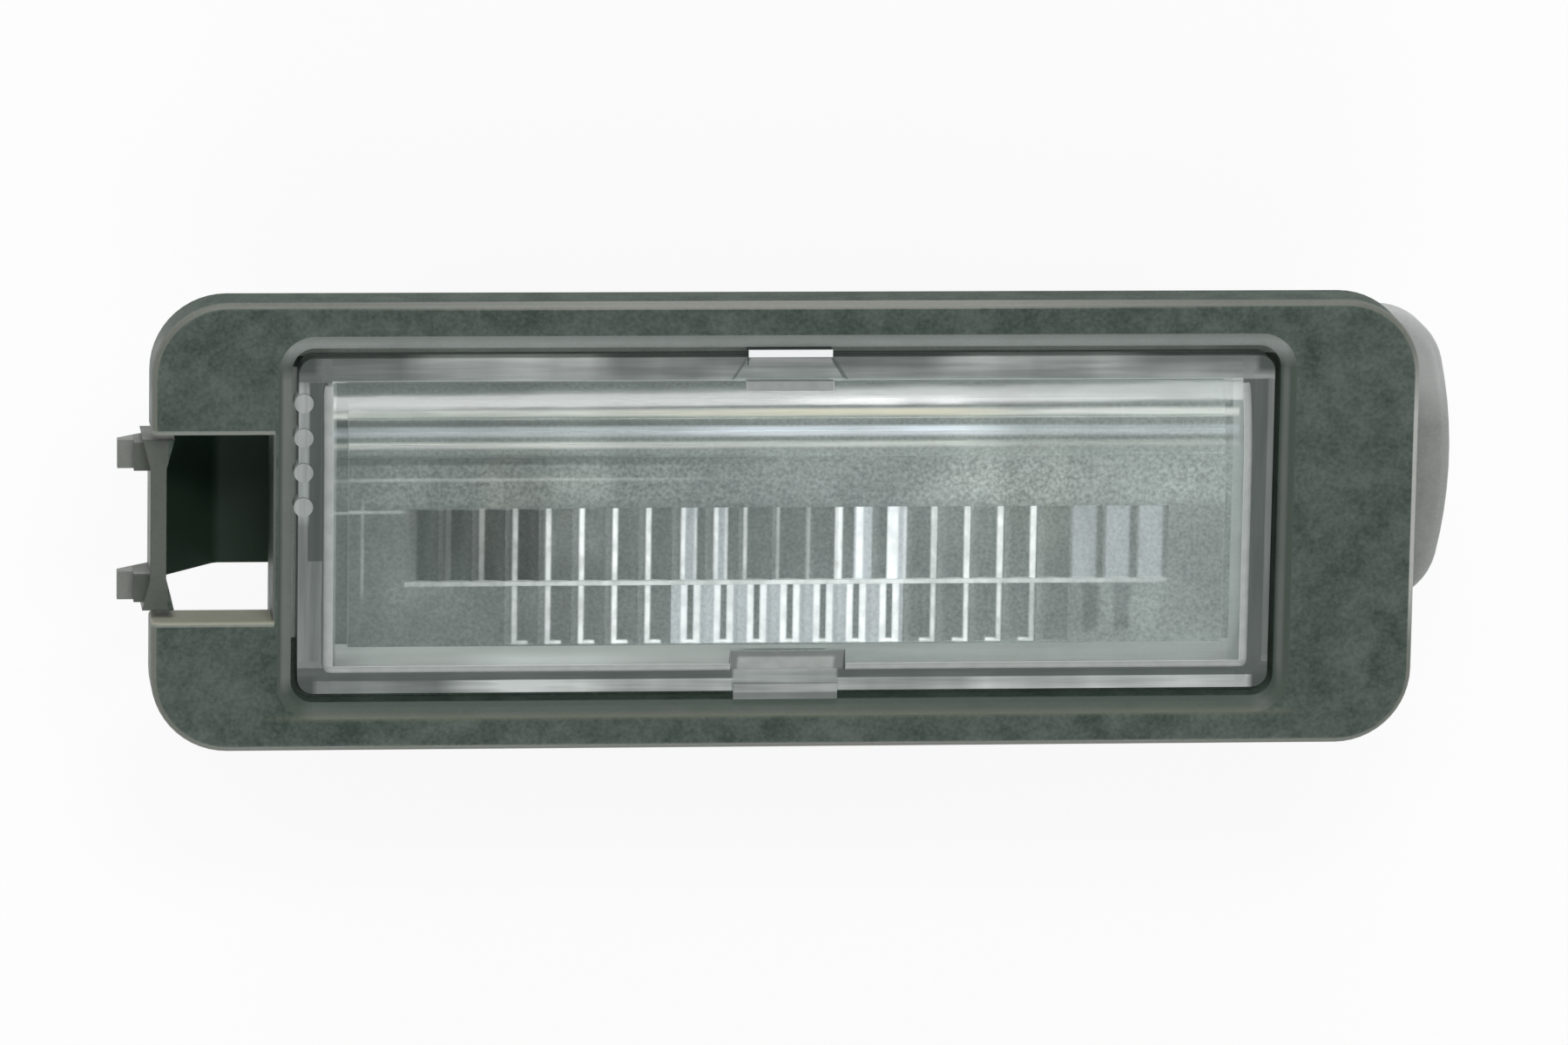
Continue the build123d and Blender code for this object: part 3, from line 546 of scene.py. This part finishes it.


# painted highlights as white lines and painted reflections as cool stripes on both rows, with a strength of
# its own for each rib
def ribStripes(tree, places, patterns, look, ribs):
    x, pitch = places["x"], ribs["pitch"]
    across = maths(tree, "WRAP", x, pitch / 2, -pitch / 2)
    ribNumber = maths(tree, "ROUND", maths(tree, "DIVIDE", x, pitch))
    chance = addNode(tree, "ShaderNodeTexWhiteNoise", {"W": ribNumber}, noise_dimensions="1D")
    ownStrength = masked(tree, chance.outputs["Value"], *ribs["chance"])
    strength = times(tree, ownStrength, scale(tree, patterns["flecks"], *ribs["flecks"]))
    upper, upperLines = ribRow(tree, places, across, ribs["upper"], ribs)
    lower, lowerLines = ribRow(tree, places, across, ribs["lower"], ribs)
    ledge = times(
        tree,
        near(tree, places["y"], *ribs["ledge"]["at"]),
        near(tree, x, 0, ribs["upper"]["reach"]),
        scale(tree, places["absX"], *ribs["ledge"]["fade"]),
    )
    marks = [times(tree, zone(tree, places, mark), mark["strong"]) for mark in look["marks"]]
    lines = times(tree, most(tree, upperLines, lowerLines, ledge, *marks), strength)

    pale, middle = ribs["pale"], ribs["middle"]
    inPale = span(tree, x, *pale["x"])
    paleRibs = times(tree, near(tree, across, *pale["across"]), inPale, upper, pale["strong"])
    wide = times(tree, most(tree, *ownLines(tree, x, ribs["upper"]["cool"], ribs["soft"])), upper)
    besideCore = masked(tree, near(tree, across, *middle["core"]), middle["strong"], 0)
    pairs = times(tree, near(tree, x, 0, middle["reach"]), lower, besideCore)
    return {"upper": upper, "lower": lower, "lines": lines, "cool": most(tree, paleRibs, wide, pairs)}


# strength of a band at one place along the lamp
def bandStrength(tree, x, look, values):
    latch, middle, nose = values
    beforeNose = scale(tree, x, *look["middleTurn"], latch, middle)
    return mixValue(tree, scale(tree, x, *look["noseTurn"], 0, 1), beforeNose, nose)


def bandLine(tree, places, look, band):
    return near(tree, places["bandY"], band["at"], band["half"], look["bandSoft"])


# satin inside with painted light and shade: paler towards the nose end and below the rows, darker in rows
# and grooves
def innerColour(tree, places, patterns, stripes, look, ribs):
    x, dots, uneven = places["x"], patterns["dots"], look["uneven"]
    dark = ribs["dark"]
    grooves = [times(tree, zone(tree, places, cell), cell["deep"]) for cell in look["cells"]]
    grooves.append(times(tree, zone(tree, places, dark), scale(tree, dots, *noiseSpan, *dark["deep"])))
    for groove in look["grooves"]:
        strong = bandStrength(tree, x, look, groove["strong"])
        grooves.append(times(tree, bandLine(tree, places, look, groove), strong))
    lowerNose = times(tree, stripes["lower"], scale(tree, x, *look["noseHalf"]))
    plainDots = scale(tree, dots, *noiseSpan, *uneven["satinDots"])
    strongDots = scale(tree, dots, *noiseSpan, *uneven["stippleDots"])
    shade = times(
        tree,
        scale(tree, x, *look["paintedLightTurn"]),
        masked(tree, stripes["upper"], 1.0, look["rowShade"]),
        masked(tree, lowerNose, 1.0, look["rowShade"]),
        masked(tree, most(tree, *grooves), 1.0, 0.0),
        mixValue(tree, span(tree, places["y"], *look["stipple"]), plainDots, strongDots),
        scale(tree, patterns["clouds"], *noiseSpan, *uneven["satinClouds"]),
    )
    colour = mixColour(tree, shade, look["deepest"], look["satin"]["colour"])
    brushed = times(
        tree,
        scale(tree, patterns["along"], *noiseCore, *uneven["paleStreaks"]),
        scale(tree, patterns["steps"], *noiseSpan, *uneven["paleSteps"]),
    )
    for box in look["pale"]:
        share = times(tree, zone(tree, places, box), brushed)
        colour = mixColour(tree, share, colour, box["colour"])
    return colour


# rim with painted light and shade: shaded by side, uneven along the lamp, with painted shade on upright
# faces
def rimColour(tree, places, patterns, onCrown, look):
    x, y, uneven = places["x"], places["y"], look["uneven"]
    crownX, crownY = look["crown"]
    shade = look["rimRight"]
    for box in look["rim"]:
        shade = mixValue(tree, zone(tree, places, box), shade, box["shade"])
    recess = look["recess"]
    slant = maths(tree, "MULTIPLY_ADD", y, recess["flare"], places["absX"])
    slantEdge = recess["half"] + recess["flare"] * recess["top"]
    overRim = span(tree, y, crownY, recess["top"])
    floor = times(tree, span(tree, slant, -slantEdge, slantEdge), overRim)
    shade = mixValue(tree, floor, shade, recess["floor"])
    sideLines = times(tree, near(tree, slant, slantEdge, recess["line"]), overRim)
    shade = mixValue(tree, sideLines, shade, recess["shade"])
    sideRim = times(tree, masked(tree, near(tree, x, 0, crownX), 1, 0), near(tree, y, 0, crownY))
    streaks = mixValue(tree, sideRim, patterns["along"], patterns["upward"])
    rimUneven = times(
        tree,
        scale(tree, streaks, *noiseCore, *uneven["rimStreaks"]),
        scale(tree, patterns["steps"], *noiseCore, *uneven["rimSteps"]),
    )
    crownUneven = scale(tree, patterns["flecks"], *noiseSpan, *uneven["crownFlecks"])
    drawn = mixValue(tree, onCrown, rimUneven, crownUneven)
    upright = scale(tree, maths(tree, "ABSOLUTE", normalZ(tree, "True Normal")), *look["upright"])
    upright = mixValue(tree, anyZone(tree, places, look["paleSides"]), upright, 1.0)
    return mixColour(tree, times(tree, shade, drawn, upright), look["deepest"], look["rimColour"])


def lensPlastic(name, look, ribs):
    material, tree, surface = newMaterial(name)
    coords = objectCoords(tree)
    places = placesInMm(tree, coords)
    patterns = lensPatterns(tree, coords, look)
    faces = satinFaces(tree, places, look)
    inside = faces["every"]
    drop = times(tree, faces["behind"], look["bandDrop"])
    places["bandY"] = combine(tree, "ADD", places["y"], drop)

    # painted highlights as white lines and painted reflections as cool stripes, inside only
    stripes = ribStripes(tree, places, patterns, look, ribs)
    padTopHighlight = times(tree, zone(tree, places, look["padTopHighlight"]), faces["rim"], look["padTopHighlight"]["strong"])
    lines = times(tree, most(tree, stripes["lines"], padTopHighlight), inside)
    coolDots = scale(tree, patterns["dots"], *noiseSpan, *look["uneven"]["coolDots"])
    cool = times(tree, stripes["cool"], inside, coolDots)

    skin, satin = look["skin"], look["satin"]
    inner = innerColour(tree, places, patterns, stripes, look, ribs)
    rim = rimColour(tree, places, patterns, faces["onCrown"], look)
    colour = mixColour(tree, inside, skin["colour"], mixColour(tree, faces["front"], inner, rim))
    bandReach = near(tree, places["x"], 0, look["bandReach"])
    streaks = scale(tree, patterns["along"], *noiseCore, *look["uneven"]["prismStreaks"])
    # painted highlight and reflection bands of the prisms over the colour
    for prism in look["prisms"]:
        strong = bandStrength(tree, places["x"], look, prism["strong"])
        share = times(tree, bandLine(tree, places, look, prism), bandReach, inside, streaks, strong)
        colour = mixColour(tree, share, colour, prism["colour"])
    colour = mixColour(tree, cool, colour, look["cool"])
    colour = mixColour(tree, lines, colour, look["white"])

    clear = mixValue(tree, inside, 1.0, satin["clear"])
    clear = mixValue(tree, faces["front"], clear, look["rimClear"])
    clear = mixValue(tree, most(tree, lines, cool), clear, 0.0)
    wave = look["wave"]
    unevenSkin = noise(tree, coords, wave["size"], detail=1.0)
    settings = {
        "Base Color": colour,
        "Roughness": mixValue(tree, inside, skin["roughness"], satin["roughness"]),
        "IOR": look["ior"],
        "Transmission Weight": clear,
        "Normal": bump(tree, unevenSkin, wave["depth"], wave["strength"]),
    }
    shader = addNode(tree, "ShaderNodeBsdfPrincipled", settings)
    tree.links.new(clearToLight(tree, shader.outputs[0], skin["colour"]), surface)
    return material


# bulb glass: clear, with a faint drawn unevenness along the tube
glassLook = {
    "tint": (0.97, 0.98, 0.98),
    "roughness": (0.0, 0.06),
    "ior": 1.5,
    "wave": {"size": 2.5 * mm, "depth": 0.04 * mm, "strength": 0.3},
}


def bulbGlass(name, look):
    material, tree, surface = newMaterial(name)
    wave = look["wave"]
    uneven = noise(tree, objectCoords(tree), wave["size"], detail=2.0)
    settings = {
        "Base Color": look["tint"],
        "Roughness": scale(tree, uneven, *noiseSpan, *look["roughness"]),
        "IOR": look["ior"],
        "Transmission Weight": 1.0,
        "Normal": bump(tree, uneven, wave["depth"], wave["strength"]),
    }
    shader = addNode(tree, "ShaderNodeBsdfPrincipled", settings)
    tree.links.new(clearToLight(tree, shader.outputs[0], look["tint"]), surface)
    return material


# metals: colour and roughness vary a little with the grain
metalLooks = {
    "reflector": {"colour": (0.62, 0.64, 0.64), "roughness": 0.45, "grain": 0.9 * mm, "depth": 0.015 * mm},
    "bulb_cap": {"colour": (0.66, 0.64, 0.60), "roughness": 0.30, "grain": 0.5 * mm, "depth": 0.008 * mm},
    "bulb_wire": {"colour": (0.36, 0.35, 0.36), "roughness": 0.40, "grain": 0.2 * mm, "depth": 0.004 * mm},
    "contact": {"colour": (0.70, 0.54, 0.30), "roughness": 0.32, "grain": 0.4 * mm, "depth": 0.006 * mm},
}
metalGrain = {"dull": 0.8, "smooth": 0.8, "rough": 1.2, "strength": 0.5}


def metal(name, look):
    material, tree, surface = newMaterial(name)
    grain = noise(tree, objectCoords(tree), look["grain"])
    dull = [metalGrain["dull"] * part for part in look["colour"]]
    roughness = [metalGrain[key] * look["roughness"] for key in ("smooth", "rough")]
    settings = {
        "Base Color": ramp(tree, grain, *noiseSpan, dull, look["colour"]),
        "Roughness": scale(tree, grain, *noiseSpan, *roughness),
        "Metallic": 1.0,
        "Normal": bump(tree, grain, look["depth"], metalGrain["strength"]),
    }
    shader = addNode(tree, "ShaderNodeBsdfPrincipled", settings)
    tree.links.new(shader.outputs[0], surface)
    return material


# seals: grey silicone under the lens, black rubber on the carrier
sealLooks = {
    "lens_seal": {"dark": (0.13, 0.15, 0.145), "light": (0.21, 0.235, 0.225), "roughness": 0.5},
    "gasket": {"dark": (0.012, 0.013, 0.013), "light": (0.03, 0.032, 0.031), "roughness": 0.75},
}
sealGrain = {"size": 0.3 * mm, "depth": 0.02 * mm, "strength": 0.6}


def seal(name, look):
    material, tree, surface = newMaterial(name)
    grain = noise(tree, objectCoords(tree), sealGrain["size"], detail=4.0)
    settings = {
        "Base Color": ramp(tree, grain, *noiseSpan, look["dark"], look["light"]),
        "Roughness": look["roughness"],
        "Normal": bump(tree, grain, sealGrain["depth"], sealGrain["strength"]),
    }
    shader = addNode(tree, "ShaderNodeBsdfPrincipled", settings)
    tree.links.new(shader.outputs[0], surface)
    return material


finishes = {
    "housing": mouldedPlastic("housingPlastic", housingLook),
    "carrier": mouldedPlastic("carrierPlastic", carrierLook),
    "lens": lensPlastic("lensPlastic", lensLook, ribLook),
    "bulb_glass": bulbGlass("bulbGlass", glassLook),
}
for slotName, look in metalLooks.items():
    finishes[slotName] = metal(slotName + "Metal", look)
for slotName, look in sealLooks.items():
    finishes[slotName] = seal(slotName + "Rubber", look)
for entry in frame["record"]["subparts"]:
    node = nodes[entry["node"]]
    node.data.materials.clear()
    node.data.materials.append(finishes[entry["material_slot"]])
print("materials on", len(nodes), "nodes")

# camera: tilt towards +Y, yaw towards -X, and roll, with the origin at a pixel of the 1800 x 1200 frame
cameraLook = {
    "tilt": 11.5,
    "yaw": 6.58,
    "roll": -0.99,
    "distance": 600 * mm,
    "nearest": 10 * mm,
    "sensor": 36,
    "pixelsPerMm": 18.15,
    "originPixel": (897.5, 590.4),
    "frame": (1800, 1200),
}


def placeCamera(look):
    tilt, yaw, roll = (math.radians(look[key]) for key in ("tilt", "yaw", "roll"))
    back = Vector((-math.sin(yaw) * math.cos(tilt), math.sin(tilt), math.cos(yaw) * math.cos(tilt)))
    right = Vector((math.cos(yaw), 0, math.sin(yaw)))
    up = back.cross(right)
    turnedRight = right * math.cos(roll) - up * math.sin(roll)
    turnedUp = right * math.sin(roll) + up * math.cos(roll)
    width, height = look["frame"]
    perPixel = mm / look["pixelsPerMm"]
    aside = (width / 2 - look["originPixel"][0]) * perPixel
    above = (look["originPixel"][1] - height / 2) * perPixel
    data = bpy.data.cameras.new("camera")
    data.sensor_width = look["sensor"]
    data.lens = look["pixelsPerMm"] / mm * look["distance"] / width * look["sensor"]
    data.clip_start = look["nearest"]
    camera = bpy.data.objects.new("camera", data)
    place = back * look["distance"] + turnedRight * aside + turnedUp * above
    turn = Matrix((turnedRight, turnedUp, back)).transposed().to_4x4()
    camera.matrix_world = Matrix.Translation(place) @ turn
    scene.collection.objects.link(camera)
    scene.camera = camera


placeCamera(cameraLook)
print("camera set")

# floor under the carrier plate: a flat square, partly of its own white where the camera sees it
floorLook = {"half": 3.0, "colour": (0.9, 0.9, 0.9), "own": 0.88}


def makeFloor(look, height):
    half = look["half"]
    corners = np.array([(-half, -half), (half, -half), (half, half), (-half, half)])
    points = np.column_stack([corners, np.full(4, height)])
    mesh = bpy.data.meshes.new("floor")
    mesh.from_pydata(points.tolist(), [], [(0, 1, 2, 3)])
    floor = bpy.data.objects.new("floor", mesh)
    scene.collection.objects.link(floor)
    material, tree, surface = newMaterial("floorPaper")
    diffuse = addNode(tree, "ShaderNodeBsdfDiffuse", {"Color": look["colour"]})
    glow = addNode(tree, "ShaderNodeEmission", {"Color": paperWhite, "Strength": 1.0})
    path = tree.nodes.new("ShaderNodeLightPath")
    rays = [path.outputs[name] for name in ("Is Camera Ray", "Is Transmission Ray", "Is Glossy Ray")]
    share = times(tree, most(tree, *rays), look["own"])
    tree.links.new(mixShader(tree, share, diffuse.outputs[0], glow.outputs[0]), surface)
    mesh.materials.append(material)


makeFloor(floorLook, cadBox[0][2])

# lights: place as degrees from +Z towards +X and towards +Y, turn in degrees, the rest in metres and watts
# one that is not mirrored lights the lamp without a highlight of its own
lights = {
    "topStrip": {"toX": 3, "toY": 31.9, "turn": 25, "distance": 0.7, "size": (0.4, 0.088), "power": 0.79},
    "topFill": {
        "toX": 3,
        "toY": 33.4,
        "distance": 0.7,
        "size": (0.4, 0.125),
        "power": 0.33,
        "mirrored": False,
    },
    "topMiddle": {"toX": 4.5, "toY": 33, "turn": 25, "distance": 0.7, "size": (0.16, 0.1), "power": 0.16},
    "glint": {"toX": 8.7, "toY": 32, "distance": 0.7, "size": (0.014, 0.06), "power": 0.04},
    "topLow": {"toX": -15, "toY": 62, "distance": 0.8, "size": (0.6, 0.25), "power": 2.5},
    "frontLow": {"toX": -5, "toY": -62, "distance": 0.8, "size": (0.6, 0.25), "power": 3.0},
    "leftStrip": {"toX": -50, "toY": 0, "distance": 0.7, "size": (0.06, 0.4), "power": 0.5},
    "rightStrip": {"toX": 60, "toY": 0, "distance": 0.7, "size": (0.06, 0.4), "power": 0.8},
}


def addLight(name, look):
    acrossX, acrossY = math.radians(look["toX"]), math.radians(look["toY"])
    away = Vector((math.tan(acrossX), math.tan(acrossY), 1)).normalized()
    data = bpy.data.lights.new(name, "AREA")
    data.shape = "RECTANGLE"
    data.size, data.size_y = look["size"]
    data.energy = look["power"]
    side = Vector((1, 0, 0)) - away * away.x
    side.normalize()
    facing = Matrix((side, away.cross(side), away)).transposed().to_4x4()
    turn = Matrix.Rotation(math.radians(look.get("turn", 0)), 4, "Z")
    light = bpy.data.objects.new(name, data)
    light.matrix_world = Matrix.Translation(away * look["distance"]) @ facing @ turn
    light.visible_glossy = look.get("mirrored", True)
    scene.collection.objects.link(light)


for name, look in lights.items():
    addLight(name, look)

# world: soft light on the lamp, plain white paper to the camera
worldLook = {"colour": (0.96, 0.98, 1.0), "strength": 0.28}


def lightWorld(look):
    world = bpy.data.worlds.new("world")
    world.use_nodes = True
    tree = world.node_tree
    tree.nodes.clear()
    sky = addNode(tree, "ShaderNodeBackground", {"Color": look["colour"], "Strength": look["strength"]})
    paper = addNode(tree, "ShaderNodeBackground", {"Color": paperWhite, "Strength": 1.0})
    path = tree.nodes.new("ShaderNodeLightPath")
    mixed = mixShader(tree, path.outputs["Is Camera Ray"], sky.outputs[0], paper.outputs[0])
    tree.links.new(mixed, tree.nodes.new("ShaderNodeOutputWorld").inputs["Surface"])
    scene.world = world


lightWorld(worldLook)
scene.view_settings.view_transform = "Standard"
print("floor and lights set")
